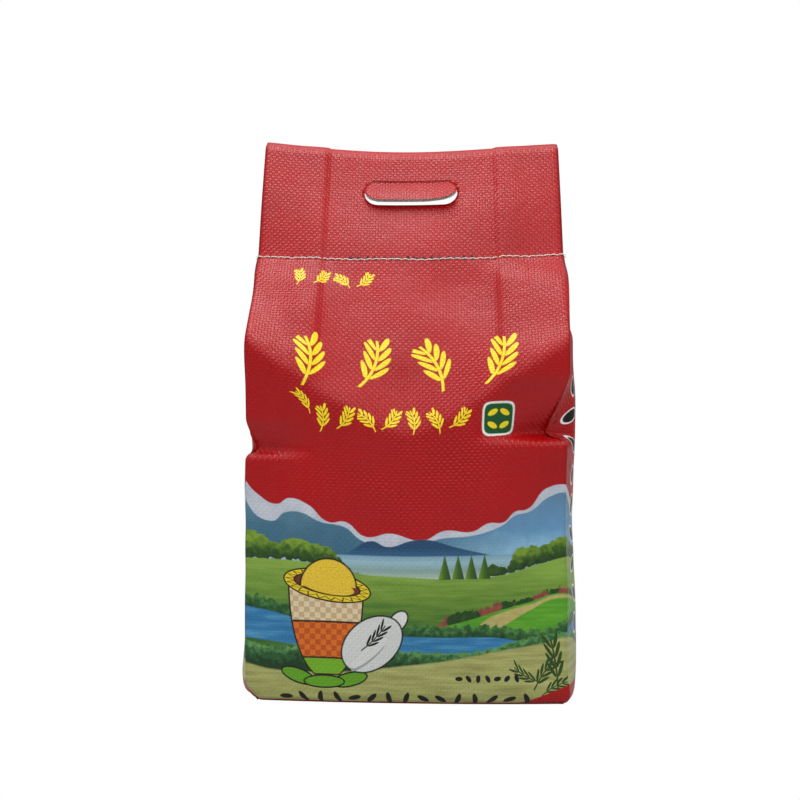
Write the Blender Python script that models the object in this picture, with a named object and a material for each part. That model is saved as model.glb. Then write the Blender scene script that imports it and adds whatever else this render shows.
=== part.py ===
"""A filled side-gusset rice sack standing on its base, with a sewn closure and a punched grip above it.

Blender 4.5, metres, +Z up. The printed front faces -Y. Run it with blender --background --python part.py,
or from the text editor.
"""

import math

import bmesh
import bpy
from mathutils import Vector

# Driving sizes of the cloth, in metres.
PANEL_WIDTH = 0.250  # the front and the back, laid flat
GUSSET_WIDTH = 0.100  # each side, opened flat
SEAM_HEIGHT = 0.349  # the sewn closure above the floor
SEAM_SAG = 0.003  # how far the closure's middle hangs below its ends
TOP_LENGTH = 0.111  # from the closure to the mouth, along the cloth
TOP_LEAN = math.radians(20)  # the top leans back from upright
TOP_THICKNESS = 0.003  # the layers above the closure, pressed together

# The rice gives the body its depth.
BASE_HALF_WIDTH = 0.118
BASE_HALF_DEPTH = 0.042
BODY_HALF_WIDTH = 0.121  # at the four long creases
BODY_HALF_DEPTH = 0.047
FACE_BULGE = 0.006  # the front and the back stand out by this where they meet the base
FACE_SWELL = 0.002  # and by this much more half-way up
FACE_FLATNESS = 2.4  # power of the bulge across a face: 2 is a parabola
SIDE_BULGE = 0.012
SIDE_WAIST = 0.4  # share of the side's bulge that is gone half-way up
BASE_ROUND = 0.022  # height over which the base rolls up into the walls
FRONT_RIDGE = 0.206  # where the middle of the front starts to slope back
BACK_RIDGE = 0.226
SLOPE_EASE = 0.25  # share of that slope that starts and ends gently
SHOULDER = 0.280  # where the long creases start to slope in
SHOULDER_START = 0.268  # where the sides' bulge starts to fade
SHOULDER_ROUND = 0.040  # and over what height it does
CREASE_SLOPE = 1.15  # power of the creases' slope: 1 is straight
SEAM_SETBACK = 0.006  # the closure lies this far behind the body's middle

# The sides fold in as a V between the shoulder and the closure.
FOLD_RUN = 0.4  # share of that height over which the fold forms
FOLD_LIMIT = 1.1  # the fold is at most this times half the depth there

# The grip slot, punched through the top, and the tongue left hanging in it.
SLOT_WIDTH = 0.079
SLOT_HEIGHT = 0.023
SLOT_ABOVE_SEAM = 0.065  # to the slot's middle
TONGUE_THICKNESS = 0.0012
TONGUE_SWING = math.radians(30)  # its free edge is pushed forwards
TONGUE_GAP = 0.0008  # clear of the slot's edge
TONGUE_ROOT = 0.0025  # how far its top runs into the cloth

# The mouth's edge waves: its middle is lower and further back than its corners.
MOUTH_DIP = 0.005
MOUTH_SETBACK = 0.012

THREAD_RADIUS = 0.0007
THREAD_ABOVE_SEAM = 0.0005  # it lies on the flat top, just clear of the slope below
TOUCH_GAP = 0.0003

# How finely the surfaces are divided.
FACE_STEPS = 18
GUSSET_STEPS = 8
TOP_STEPS = 10
SLOPE_STEPS = 14
WALL_STEPS = 8
BASE_STEPS = 5
SLOT_END_STEPS = 10
TONGUE_ROWS = 11
TONGUE_COLUMNS = 8
THREAD_STEPS = 20
CUTTER_REACH = 0.010  # how far the slot's cutter stands out of each side of the cloth
SMOOTH_UNDER = math.radians(40)  # edges sharper than this stay sharp


def material(name, hex_colour, roughness):
    """A plain Principled material; the colour is sRGB."""
    made = bpy.data.materials.new(name)
    made.use_nodes = True
    shader = made.node_tree.nodes["Principled BSDF"]
    channels = [int(hex_colour[i : i + 2], 16) / 255 for i in (1, 3, 5)]
    linear = [c / 12.92 if c <= 0.04045 else ((c + 0.055) / 1.055) ** 2.4 for c in channels]
    shader.inputs["Base Color"].default_value = (*linear, 1)
    shader.inputs["Roughness"].default_value = roughness
    shader.inputs["Metallic"].default_value = 0.0
    return made


def ease(share):
    """0 to 1 with a smooth start and end."""
    share = min(1.0, max(0.0, share))
    return share * share * (3 - 2 * share)


def roll(share):
    """A quarter circle's rise, for an edge that rolls over."""
    share = min(1.0, max(0.0, share))
    return math.sqrt(1 - (1 - share) ** 2)


def between(low, high, share):
    return low + (high - low) * share


def half_depth_at_crease(z):
    """From the body's middle to a long crease."""
    if z < BASE_ROUND:
        return between(BASE_HALF_DEPTH, BODY_HALF_DEPTH, roll(z / BASE_ROUND))
    if z < SHOULDER:
        return BODY_HALF_DEPTH
    share = (z - SHOULDER) / (SEAM_HEIGHT - SHOULDER)
    return between(BODY_HALF_DEPTH, TOP_THICKNESS / 2, share**CREASE_SLOPE)


def half_depth_at_middle(z, ridge):
    """From the body's middle to the middle of the front or the back."""
    full = BODY_HALF_DEPTH + FACE_BULGE
    if z < BASE_ROUND:
        return between(BASE_HALF_DEPTH, full, roll(z / BASE_ROUND))
    if z < ridge:
        return full + FACE_SWELL * math.sin(math.pi * (z - BASE_ROUND) / (ridge - BASE_ROUND))
    share = (z - ridge) / (SEAM_HEIGHT - ridge)
    return between(full, TOP_THICKNESS / 2, between(share, ease(share), SLOPE_EASE))


def half_width(z):
    """From the body's middle to a long crease, across."""
    if z < BASE_ROUND:
        return between(BASE_HALF_WIDTH, BODY_HALF_WIDTH, roll(z / BASE_ROUND))
    rise = ease((z - FRONT_RIDGE) / (SEAM_HEIGHT - FRONT_RIDGE))
    return between(BODY_HALF_WIDTH, PANEL_WIDTH / 2, rise)


def middle_y(z):
    """The body's middle moves back towards the closure."""
    return SEAM_SETBACK * ease((z - FRONT_RIDGE) / (SEAM_HEIGHT - FRONT_RIDGE))


def side_offset(z, across):
    """How far a side stands out (or folds in, when negative) between its two creases."""
    depth = half_depth_at_crease(z)
    waist = 1 - SIDE_WAIST * math.sin(math.pi * min(1.0, z / SHOULDER)) ** 2
    swell = SIDE_BULGE * roll(z / BASE_ROUND) * waist * (1 - ease((z - SHOULDER_START) / SHOULDER_ROUND))
    room = math.sqrt(max(0.0, (GUSSET_WIDTH / 2) ** 2 - depth**2))
    formed = ease((z - SHOULDER) / (SEAM_HEIGHT - SHOULDER) / FOLD_RUN)
    fold = formed * min(room, FOLD_LIMIT * (depth - TOP_THICKNESS / 2))
    return swell * (1 - across**2) - fold * (1 - abs(across))


def body_ring(z):
    """The points round the sack at one height: front, right side, back and left side."""
    wide, deep, y0 = half_width(z), half_depth_at_crease(z), middle_y(z)
    sag = SEAM_SAG * ease((z - SHOULDER) / (SEAM_HEIGHT - SHOULDER))
    points = []
    for face, ridge in ((-1, FRONT_RIDGE), (1, BACK_RIDGE)):
        middle = half_depth_at_middle(z, ridge)
        for i in range(FACE_STEPS):
            across = -1 + 2 * i / FACE_STEPS
            reach = between(deep, middle, 1 - abs(across) ** FACE_FLATNESS)
            low = sag * (1 - across**2)
            points.append(Vector((-face * across * wide, y0 + face * reach, z - low)))
        for i in range(GUSSET_STEPS):
            across = -1 + 2 * i / GUSSET_STEPS
            out = wide + side_offset(z, across)
            points.append(Vector((-face * out, y0 - face * across * deep, z)))
    return points


def top_point(x, up, forward=0.0):
    """A point of the top: x across, up along the cloth from the closure, and forward out of it."""
    across = x / (PANEL_WIDTH / 2)
    share = up / TOP_LENGTH
    hollow = MOUTH_SETBACK * ease(share) * (1 - across**2)
    dip = MOUTH_DIP * ease(share) * (1 - across**2) ** 1.5
    sag = SEAM_SAG * (1 - across**2)
    y = SEAM_SETBACK + up * math.sin(TOP_LEAN) + hollow - forward * math.cos(TOP_LEAN)
    z = SEAM_HEIGHT + up * math.cos(TOP_LEAN) - dip - sag + forward * math.sin(TOP_LEAN)
    return Vector((x, y, z))


def top_ring(up):
    """The same round as body_ring, above the closure, where the layers lie flat on each other."""
    points = []
    for face in (-1, 1):
        for i in range(FACE_STEPS):
            x = -face * (-1 + 2 * i / FACE_STEPS) * PANEL_WIDTH / 2
            points.append(top_point(x, up, -face * TOP_THICKNESS / 2))
        for i in range(GUSSET_STEPS):
            across = -1 + 2 * i / GUSSET_STEPS
            points.append(top_point(-face * PANEL_WIDTH / 2, up, face * across * TOP_THICKNESS / 2))
    return points


def body_heights():
    """Heights of the rings, closer together where the base rolls up."""
    base = [BASE_ROUND * (i / BASE_STEPS) ** 2 for i in range(BASE_STEPS)]
    wall = [between(BASE_ROUND, FRONT_RIDGE, i / WALL_STEPS) for i in range(WALL_STEPS)]
    slope = [between(FRONT_RIDGE, SEAM_HEIGHT, i / SLOPE_STEPS) for i in range(SLOPE_STEPS)]
    return base + wall + slope


def mesh_object(name, bm, finish):
    bmesh.ops.recalc_face_normals(bm, faces=bm.faces)
    mesh = bpy.data.meshes.new(name)
    bm.to_mesh(mesh)
    bm.free()
    mesh.materials.append(finish)
    mesh.shade_smooth()
    mesh.set_sharp_from_angle(angle=SMOOTH_UNDER)
    made = bpy.data.objects.new(name, mesh)
    bpy.context.scene.collection.objects.link(made)
    return made


def add_grid(bm, rows, closed):
    """Quads between rows of points; closed joins each row's end to its start. Returns the vertices."""
    made = [[bm.verts.new(p) for p in row] for row in rows]
    count = len(rows[0])
    for low, high in zip(made, made[1:]):
        for i in range(count if closed else count - 1):
            j = (i + 1) % count
            bm.faces.new((low[i], low[j], high[j], high[i]))
    return made


def grid_rim(rows):
    """The vertices round a grid's edge: down its left, along its end, up its right and back."""
    left = [row[0] for row in rows]
    right = [row[-1] for row in reversed(rows)]
    return left + rows[-1][1:-1] + right + rows[0][-2:0:-1]


def stadium_half_width(up):
    """Half the slot's width at a height above its middle, for its round-ended outline."""
    end = SLOT_HEIGHT / 2
    return SLOT_WIDTH / 2 - end + math.sqrt(max(0.0, end**2 - up**2))


def slot_cutter():
    """A round-ended bar through the top."""
    bm = bmesh.new()
    end = SLOT_HEIGHT / 2
    outline = []
    for side in (1, -1):
        for i in range(SLOT_END_STEPS + 1):
            angle = math.pi * (i / SLOT_END_STEPS - 0.5)
            x = side * (SLOT_WIDTH / 2 - end + end * math.cos(angle))
            outline.append((x, SLOT_ABOVE_SEAM + side * end * math.sin(angle)))
    rows = [[top_point(x, up, forward) for x, up in outline] for forward in (-CUTTER_REACH, CUTTER_REACH)]
    near, far = add_grid(bm, rows, closed=True)
    bm.faces.new(near)
    bm.faces.new(far)
    cutter = mesh_object("slot_cutter", bm, bpy.data.materials["laminated_woven_sack"])
    cutter.hide_render = True
    cutter.display_type = "WIRE"
    return cutter


def tongue():
    """The punched-out tongue, still joined along the slot's top edge, its free edge swung forwards."""
    bm = bmesh.new()
    top = SLOT_HEIGHT / 2
    # Rows from just inside the cloth down to the free edge, closer together towards its round ends.
    turns = [math.pi * i / (TONGUE_ROWS - 1) for i in range(TONGUE_ROWS)]
    levels = [top + TONGUE_ROOT] + [top * math.cos(turn) for turn in turns]
    sheets = []
    for side in (1, -1):
        rows = []
        for level in levels:
            drop = top - level
            forward = drop * math.sin(TONGUE_SWING) + side * TONGUE_THICKNESS / 2
            up = SLOT_ABOVE_SEAM + top - drop * math.cos(TONGUE_SWING)
            wide = stadium_half_width(min(level, top)) - TONGUE_GAP
            shares = [2 * i / TONGUE_COLUMNS - 1 for i in range(TONGUE_COLUMNS + 1)]
            rows.append([top_point(wide * share, up, forward) for share in shares])
        sheets.append(add_grid(bm, rows, closed=False))
    rims = [grid_rim(sheet) for sheet in sheets]
    for i, (front, back) in enumerate(zip(*rims)):
        bm.faces.new((rims[0][i - 1], front, back, rims[1][i - 1]))
    made = mesh_object("tongue_shape", bm, bpy.data.materials["laminated_woven_sack"])
    made.hide_render = True
    made.display_type = "WIRE"
    return made


def add_boolean(obj, other, operation):
    modifier = obj.modifiers.new(operation.lower(), "BOOLEAN")
    modifier.operation = operation
    modifier.object = other


def close_mouth(bm, ring):
    """Closes the top ring: quads from the front's edge to the back's, and one face in each side."""
    half = FACE_STEPS + GUSSET_STEPS
    front = ring[: FACE_STEPS + 1]
    back = ring[half : half + FACE_STEPS + 1][::-1]
    for i in range(FACE_STEPS):
        bm.faces.new((front[i], front[i + 1], back[i + 1], back[i]))
    bm.faces.new(ring[FACE_STEPS : half + 1])
    bm.faces.new([*ring[half + FACE_STEPS :], ring[0]])


def sack(finish):
    """The body and the top as one closed solid, with the slot cut and its tongue joined on."""
    bm = bmesh.new()
    rows = [body_ring(z) for z in body_heights()]
    rows += [top_ring(TOP_LENGTH * i / TOP_STEPS) for i in range(TOP_STEPS + 1)]
    rings = add_grid(bm, rows, closed=True)
    bm.faces.new(rings[0])
    close_mouth(bm, rings[-1])
    solid = mesh_object("sack", bm, finish)
    add_boolean(solid, slot_cutter(), "DIFFERENCE")
    add_boolean(solid, tongue(), "UNION")
    return solid


def closing_thread(name, face, finish):
    """One side of the sewn closure: a thread laid along the seam from edge to edge."""
    curve = bpy.data.curves.new(name, "CURVE")
    curve.dimensions = "3D"
    curve.bevel_depth = THREAD_RADIUS
    curve.bevel_resolution = 2
    curve.use_fill_caps = True
    line = curve.splines.new("POLY")
    line.points.add(THREAD_STEPS)
    away = face * (TOP_THICKNESS / 2 + TOUCH_GAP + THREAD_RADIUS)
    for i, point in enumerate(line.points):
        x = (PANEL_WIDTH / 2 - THREAD_RADIUS) * (2 * i / THREAD_STEPS - 1)
        point.co = (*top_point(x, THREAD_ABOVE_SEAM, away), 1)
    curve.materials.append(finish)
    made = bpy.data.objects.new(name, curve)
    bpy.context.scene.collection.objects.link(made)
    return made


def centre_over_floor(objects):
    """Moves everything so that the origin is under the middle of the sack, on the floor."""
    bpy.context.view_layer.update()
    graph = bpy.context.evaluated_depsgraph_get()
    points = []
    for obj in objects:
        if obj.hide_render:
            continue
        shown = obj.evaluated_get(graph)
        points += [shown.matrix_world @ v.co for v in shown.to_mesh().vertices]
    low = [min(p[axis] for p in points) for axis in range(3)]
    high = [max(p[axis] for p in points) for axis in range(3)]
    move = Vector((-(low[0] + high[0]) / 2, -(low[1] + high[1]) / 2, -low[2]))
    for obj in objects:
        obj.location += move


def main():
    for obj in list(bpy.data.objects):
        bpy.data.objects.remove(obj)
    film = material("laminated_woven_sack", "#A8181F", 0.4)
    cotton = material("sewing_thread", "#E9E4DA", 0.8)
    sack(film)
    closing_thread("closing_thread_front", 1, cotton)
    closing_thread("closing_thread_back", -1, cotton)
    centre_over_floor(list(bpy.context.scene.objects))


main()
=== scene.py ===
"""A filled rice sack of laminated woven polypropylene, standing on its base.

One tube of cloth makes the front, the back and the two side gussets. It is folded shut under the base, sewn
shut above the rice, and goes on up to an open mouth with a punched grip slot. Metres, +Z up, the printed
front faces -Y.
"""

import math

import bmesh
import bpy
import numpy as np
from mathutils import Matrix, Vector


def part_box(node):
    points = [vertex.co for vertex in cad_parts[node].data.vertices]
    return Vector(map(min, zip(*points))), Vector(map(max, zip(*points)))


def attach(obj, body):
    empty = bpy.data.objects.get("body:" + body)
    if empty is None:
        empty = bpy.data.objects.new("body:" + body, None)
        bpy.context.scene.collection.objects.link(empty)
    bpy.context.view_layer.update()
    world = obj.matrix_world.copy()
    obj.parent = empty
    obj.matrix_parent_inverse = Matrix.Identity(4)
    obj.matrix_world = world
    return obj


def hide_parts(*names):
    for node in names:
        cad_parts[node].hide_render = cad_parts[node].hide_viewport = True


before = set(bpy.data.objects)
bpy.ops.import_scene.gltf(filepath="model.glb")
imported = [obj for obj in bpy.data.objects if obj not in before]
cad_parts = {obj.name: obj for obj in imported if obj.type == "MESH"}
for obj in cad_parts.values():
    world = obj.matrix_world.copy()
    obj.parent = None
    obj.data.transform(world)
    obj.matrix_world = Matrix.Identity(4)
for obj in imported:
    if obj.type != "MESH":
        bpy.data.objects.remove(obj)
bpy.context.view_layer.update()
SACK_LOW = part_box("sack")[0]
SEAM_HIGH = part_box("closing_thread_front")[1]

# The flat tube of cloth.
MM = 0.001
CELL = 2.5 * MM  # the grid that the cloth is modelled on
PANEL = 250 * MM
GUSSET = 100 * MM
FLAP = 111 * MM  # from the closure up to the mouth
WALL = 362 * MM  # from the base's edge up to the closure
SHEET = 0.35 * MM  # laminated cloth
PANEL_CELLS = round(PANEL / CELL)
GUSSET_CELLS = round(GUSSET / CELL)
HALF_FOLD = GUSSET_CELLS // 2
ROUND_CELLS = 2 * (PANEL_CELLS + GUSSET_CELLS)
BASE_ROWS = round(GUSSET / 2 / CELL)
WALL_ROWS = round(WALL / CELL)
FLAP_ROWS = round(FLAP / CELL)

# The filled shape, placed by the CAD sack and its closing thread.
SEAM_Z = SEAM_HIGH[2] - 1.2 * MM
SEAM_SAG = 3 * MM
FRONT_Y = SACK_LOW[1]
MIDDLE_Y = FRONT_Y + 55 * MM
SEAM_Y = MIDDLE_Y + 6 * MM
BASE_INSET = 9 * MM  # how far the base's edge rolls in
LEAN = math.radians(20)
HOLLOW = 12 * MM  # the mouth's middle lies this far behind its corners
DIP = 2.5 * MM  # and this far below them

# The filled body: half its size at the base and at the shoulders, and where the shoulders start.
BASE_WIDE = 124.0 * MM
BASE_DEEP = 47.0 * MM
SHOULDER_WIDE = 124.0 * MM
SHOULDER_DEEP = 48.5 * MM
SHOULDER_Z = 281 * MM  # at the long creases
FRONT_VALLEY = 207 * MM  # in the front's middle
BACK_VALLEY = 224 * MM

# Layers of the flap, forward of its middle surface.
PANEL_LAYER = 1.15 * MM
FOLD_LAYER = 0.40 * MM

# The grip slot.
SLOT_WIDTH = 79 * MM
SLOT_HEIGHT = 23 * MM
SLOT_UP = 65 * MM  # its middle above the closure
TONGUE_SWING = math.radians(19)
TONGUE_GAP = 0.4 * MM
TONGUE_ROOT = 1.5 * MM

# The closing stitches.
STITCH_UP = 1.0 * MM
STITCH_PITCH = 6.0 * MM
STITCH_RADIUS = 0.45 * MM


def ease(t):
    t = np.clip(t, 0.0, 1.0)
    return t * t * (3 - 2 * t)


def soft_abs(a, soft=0.15):
    """0 at 0 and 1 at 1, straight but for a rounded middle."""
    return (np.sqrt(a * a + soft * soft) - soft) / (math.sqrt(1 + soft * soft) - soft)


def waves(a, b, size, seed, count=14):
    """Smooth unevenness between about -1 and 1 over two lengths, with bumps about size across."""
    rng = np.random.default_rng(seed)
    total = 0.0
    for _ in range(count):
        turn, phase = rng.uniform(0, 2 * math.pi, 2)
        rate = 2 * math.pi / (size * rng.uniform(1.4, 2.8))
        total = total + np.sin(rate * (math.cos(turn) * a + math.sin(turn) * b) + phase)
    return total / math.sqrt(count)


# ---------------------------------------------------------------- the tube's columns


def tube_columns():
    """For each column of cells round the tube: across (-1 to 1 between the long creases), out (-1 front to 1
    back), fold (0 at a crease to 1 at a gusset's middle) and facing (1 where the outside looks forwards when
    the tube is folded flat)."""
    panel = np.arange(PANEL_CELLS) / PANEL_CELLS
    gusset = np.arange(GUSSET_CELLS) / GUSSET_CELLS
    flat, ones = np.zeros(PANEL_CELLS), np.ones(PANEL_CELLS)
    side = np.ones(GUSSET_CELLS)
    halves = np.where(gusset < 0.5, 1.0, -1.0)
    return {
        "across": np.concatenate([2 * panel - 1, side, 1 - 2 * panel, -side]),
        "out": np.concatenate([-ones, 2 * gusset - 1, ones, 1 - 2 * gusset]),
        "fold": np.concatenate([flat, 1 - abs(2 * gusset - 1), flat, 1 - abs(2 * gusset - 1)]),
        "facing": np.concatenate([ones, -halves, -ones, halves]),
        "panel": np.concatenate([ones, 0 * side, ones, 0 * side]) > 0.5,
    }


COLUMNS = tube_columns()
CREASES = (0, PANEL_CELLS, PANEL_CELLS + GUSSET_CELLS, 2 * PANEL_CELLS + GUSSET_CELLS)
FOLDS = (PANEL_CELLS + HALF_FOLD, ROUND_CELLS - HALF_FOLD)


def flap_middle(x, up):
    """The flap's middle surface, above the closure."""
    across = np.clip(x / (PANEL / 2), -1, 1)
    share = ease(up / FLAP)
    hollow = HOLLOW * share * (1 - across**2)
    dip = DIP * share * (1 - (across + 0.12) ** 2).clip(0) ** 1.5 + SEAM_SAG * (1 - across**2)
    dip = dip - (3.0 - 2.4 * across) * MM * share
    curl = 5.0 * MM * ease((up - 0.88 * FLAP) / (0.12 * FLAP)) ** 2
    sway = 1.6 * MM * waves(x, up * 0.35, 90 * MM, 3) * ease(up / (0.5 * FLAP))
    y = SEAM_Y + up * math.sin(LEAN) + hollow * 0.8 + curl + sway * 0.8
    z = SEAM_Z + up * math.cos(LEAN) - dip - curl * 0.5
    return np.stack([x + 0 * y, y, z + 0 * y], axis=-1)


FORWARD = np.array([0.0, -math.cos(LEAN), math.sin(LEAN)])


def gusset_lift(x):
    """How far the folded gusset behind a panel lifts it, with a step at the gusset's middle."""
    return 1.5 * MM * ease((abs(x) - 70 * MM) / (3 * MM)) - 1.0 * MM * ease((abs(x) - 76 * MM) / (26 * MM))


def flap_skin(x, up, inner):
    """One row of the flap's skin, its outer or its inner side, for each column's x and height above the
    closure."""
    across, fold, facing = COLUMNS["across"], COLUMNS["fold"], COLUMNS["facing"]
    side = 0.5 * SHEET * (-1 if inner else 1)
    x = x - across * fold * GUSSET / 2
    layer = np.where(COLUMNS["panel"], -COLUMNS["out"] * PANEL_LAYER, -np.sign(COLUMNS["out"]) * FOLD_LAYER)
    gape = 1.4 * MM * ease((up - 0.55 * FLAP) / (0.45 * FLAP)) * (1 - across**2)
    offset = layer - COLUMNS["out"] * gape * COLUMNS["panel"] + facing * side
    for crease in CREASES:
        front = -COLUMNS["out"][crease]
        offset[crease] = front * (PANEL_LAYER + FOLD_LAYER) / 2
        x[crease] += across[crease] * side
    for middle in FOLDS:
        offset[middle] = 0.0
        x[middle] += across[middle] * side
    offset = offset + np.where(COLUMNS["panel"], -COLUMNS["out"] * gusset_lift(x), 0.0)
    return flap_middle(x, up) + offset[:, None] * FORWARD


def wall_points():
    """The cloth from the base's edge to the closure: rows by columns of points."""
    across, out = COLUMNS["across"], COLUMNS["out"]
    panel = COLUMNS["panel"]
    swell = np.where(panel, 1 - abs(across) ** 2.2, 1 - out**2)
    face = np.where(panel, out, 0.0)
    side = np.where(panel, 0.0, across)
    # Where each column starts to slope in: a V across the front, lower in its middle.
    valley = np.where(out < 0, FRONT_VALLEY, BACK_VALLEY)
    slopes_from = valley + (SHOULDER_Z - valley) * soft_abs(across)
    ridge_z = np.where(panel, slopes_from, SHOULDER_Z + 5 * MM * swell)
    ridge = np.stack(
        [
            np.where(panel, across * SHOULDER_WIDE, side * (SHOULDER_WIDE + 7 * MM * swell)),
            MIDDLE_Y + np.where(panel, face * (SHOULDER_DEEP + 8 * MM * swell), out * SHOULDER_DEEP),
            ridge_z,
        ],
        axis=-1,
    )
    seam = flap_skin(across * PANEL / 2, 0 * across, inner=False)
    slope = np.linalg.norm(seam - ridge, axis=1)
    rows = []
    for row in range(WALL_ROWS + 1):
        reach = row / WALL_ROWS * (ridge_z + slope)
        z = np.minimum(reach, ridge_z)
        low = z / ridge_z
        belly = np.where(panel, 4 * MM * np.sin(math.pi * low) ** 2, 0.0) * swell
        waist = np.where(panel, 0.0, (3 - 1.5 * across) * MM * np.sin(math.pi * low) ** 2) * swell
        wide = BASE_WIDE + 0.5 * MM * low
        deep = BASE_DEEP + 1.5 * MM * low
        x = np.where(panel, across * wide, side * (wide + (9 * MM - 2 * MM * low) * swell - waist))
        y = np.where(panel, face * (deep + (5 * MM + 3 * MM * low) * swell + belly), out * deep)
        # The front's right crease has been pulled in, so the gusset shows beside it.
        near = (1 - ease((y + 48 * MM) / (34 * MM))) * ease(x / (124 * MM))
        x = x - 3.5 * MM * near * ease(low / 0.15) * ease((1 - low) / 0.25)
        # The lower edge rolls in under the rice.
        roll = 1 - np.sqrt(1 - np.clip(1 - z / BASE_INSET, 0, 1) ** 2)
        shrink_x = 1 - roll * BASE_INSET * 0.6 / abs(wide)
        shrink_y = 1 - roll * BASE_INSET * 0.8 / deep
        wall = np.stack([x * shrink_x, MIDDLE_Y + y * shrink_y, z + 0.4 * MM], axis=-1)
        share = np.clip((reach - ridge_z) / slope, 0, 1)[:, None]
        rows.append(wall + (seam - ridge - np.array([0, 0, 0.4 * MM])) * share)
    return np.array(rows)


def base_points(edge):
    """The cloth under the base, folded like an envelope: rows from the hidden base seam out to the edge."""
    fold, out, across = COLUMNS["fold"], COLUMNS["out"], COLUMNS["across"]
    rows = []
    for row in range(BASE_ROWS):
        drop = 1 - row / BASE_ROWS  # 1 at the seam, 0 at the edge
        under = np.where(COLUMNS["panel"], 0.0, 1.0)
        tuck = np.where(fold > drop, 2.0, under)
        inward = np.minimum(fold, drop) * 46 * MM
        x = edge[:, 0] * (1 + 0.02 * drop) - across * inward
        y = MIDDLE_Y + np.sign(out) * abs(edge[:, 1] - MIDDLE_Y).max() * (1 - np.maximum(fold, drop))
        y = np.where(COLUMNS["panel"], MIDDLE_Y + (edge[:, 1] - MIDDLE_Y) * (1 - drop), y)
        rows.append(np.stack([x, y, (0.4 + 0.5 * tuck) * MM + 0 * x], axis=-1))
    return np.array(rows)


def blur(points, times, hold):
    """Evens the grid out a little, along the columns everywhere and across them but not over the creases."""
    hold = hold[..., None]
    for _ in range(times):
        along = points.copy()
        along[1:-1] = 0.5 * points[1:-1] + 0.25 * (points[:-2] + points[2:])
        round_about = 0.5 * along + 0.25 * (np.roll(along, 1, axis=1) + np.roll(along, -1, axis=1))
        for crease in CREASES:
            round_about[:, crease] = along[:, crease]
        points = points * hold + round_about * (1 - hold)
    return points


def grid_normals(points):
    """The way out of the cloth at each point of a grid whose rows go round the tube."""
    up = np.gradient(points, axis=0)
    round_about = np.roll(points, -1, axis=1) - np.roll(points, 1, axis=1)
    normal = np.cross(round_about, up)
    return normal / np.maximum(np.linalg.norm(normal, axis=-1, keepdims=True), 1e-9)


def dent(points, normals, x, z, reach, above, below, depth, behind):
    """Presses in a crease that starts at a long crease of the front and fades towards the front's middle, and
    over a length behind into the gusset. It goes in gently above its line and comes out sharply below it."""
    side = math.copysign(1.0, x)
    along = side * (x - points[..., 0])
    rise = points[..., 2] - z
    shape = np.where(rise > 0, 1 - rise / above, 1 + rise / below).clip(0, 1)
    fade = 1 - ease((along - 0.2 * reach) / (0.8 * reach))
    front = 1 - ease((points[..., 1] - FRONT_Y - 12 * MM) / behind)
    press = depth * shape * fade * front * (along > -0.02)
    return points - normals * press[..., None]


def flatten(points, normal, level, keep=0.12):
    """Presses what stands out past a plane back to it, which leaves a facet with creased edges."""
    normal = np.array(normal) / np.linalg.norm(normal)
    past = np.maximum(points @ normal - level, 0.0)
    return points - normal * (past * (1 - keep))[..., None]


def sack_rows():
    """The outer skin from the hidden base seam to the closure, as rows of points round the tube."""
    wall = wall_points()
    hold = np.zeros(wall.shape[:2])
    hold[:3] = 0.7
    hold[-2:] = 1.0
    wall = blur(wall, 6, hold)
    normals = grid_normals(wall)
    wall = dent(wall, normals, -0.125, 0.195, 0.060, 0.022, 0.005, 0.010, 0.045)
    wall = dent(wall, normals, 0.125, 0.206, 0.078, 0.044, 0.004, 0.019, 0.020)
    wall = flatten(wall, (-0.656, -0.5, -0.6), 0.094)
    wall = flatten(wall, (0.60, -0.5, -0.70), 0.097)
    wall = blur(wall, 1, hold)
    normals = grid_normals(wall)
    height = np.linspace(0, WALL, WALL_ROWS + 1)[:, None]
    girth = (np.arange(ROUND_CELLS) * CELL)[None, :]
    lumps = waves(girth, height * 0.7, 55 * MM, 11) * 1.1 * MM + waves(girth, height, 22 * MM, 12) * 0.25 * MM
    fade = ease(height / 0.02) * (1 - ease((height - 0.31) / 0.05))
    # Over the shoulders the tucked gusset's middle shows through, and the cloth falls in soft folds.
    shoulder = ease((height - 0.235) / 0.04) * (1 - ease((height - 0.335) / 0.03))
    shows = (gusset_lift(wall[..., 0]) * 0.8 + 0.6 * MM) * COLUMNS["panel"]
    folds = waves(girth, height * 0.6, 42 * MM, 21) * 1.5 * MM
    wall = wall + normals * (lumps * fade + (shows + folds) * shoulder)[..., None]
    return np.concatenate([base_points(wall[0]), wall])


# ---------------------------------------------------------------- meshes


def floor_faces(ring):
    """Faces that close the flat folded tube across its inside, where front and back or a panel and its gusset
    lie on each other. ring lists the vertex of each column."""
    faces = []
    right = PANEL_CELLS
    back = right + GUSSET_CELLS
    left = back + PANEL_CELLS
    for k in range(HALF_FOLD):
        faces.append((ring[right - k], ring[right + k], ring[right + k + 1], ring[right - k - 1]))
        faces.append((ring[back + k], ring[back + k + 1], ring[back - k - 1], ring[back - k]))
        faces.append((ring[left - k], ring[left + k], ring[left + k + 1], ring[left - k - 1]))
        faces.append((ring[k], ring[k + 1], ring[-k - 1], ring[-k]))
    for k in range(HALF_FOLD, PANEL_CELLS - HALF_FOLD):
        faces.append((ring[k], ring[k + 1], ring[left - k - 1], ring[left - k]))
    faces.append((ring[right - HALF_FOLD], ring[right + HALF_FOLD], ring[back + HALF_FOLD]))
    faces.append((ring[left - HALF_FOLD], ring[left + HALF_FOLD], ring[HALF_FOLD]))
    return [list(dict.fromkeys(face)) for face in faces]


def slot_reach(x, up):
    """How far points of the flap lie outside the slot's round-ended outline (negative inside)."""
    end = SLOT_HEIGHT / 2
    past = np.maximum(abs(x) - (SLOT_WIDTH / 2 - end), 0.0)
    return np.hypot(past, up - SLOT_UP) - end


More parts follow.
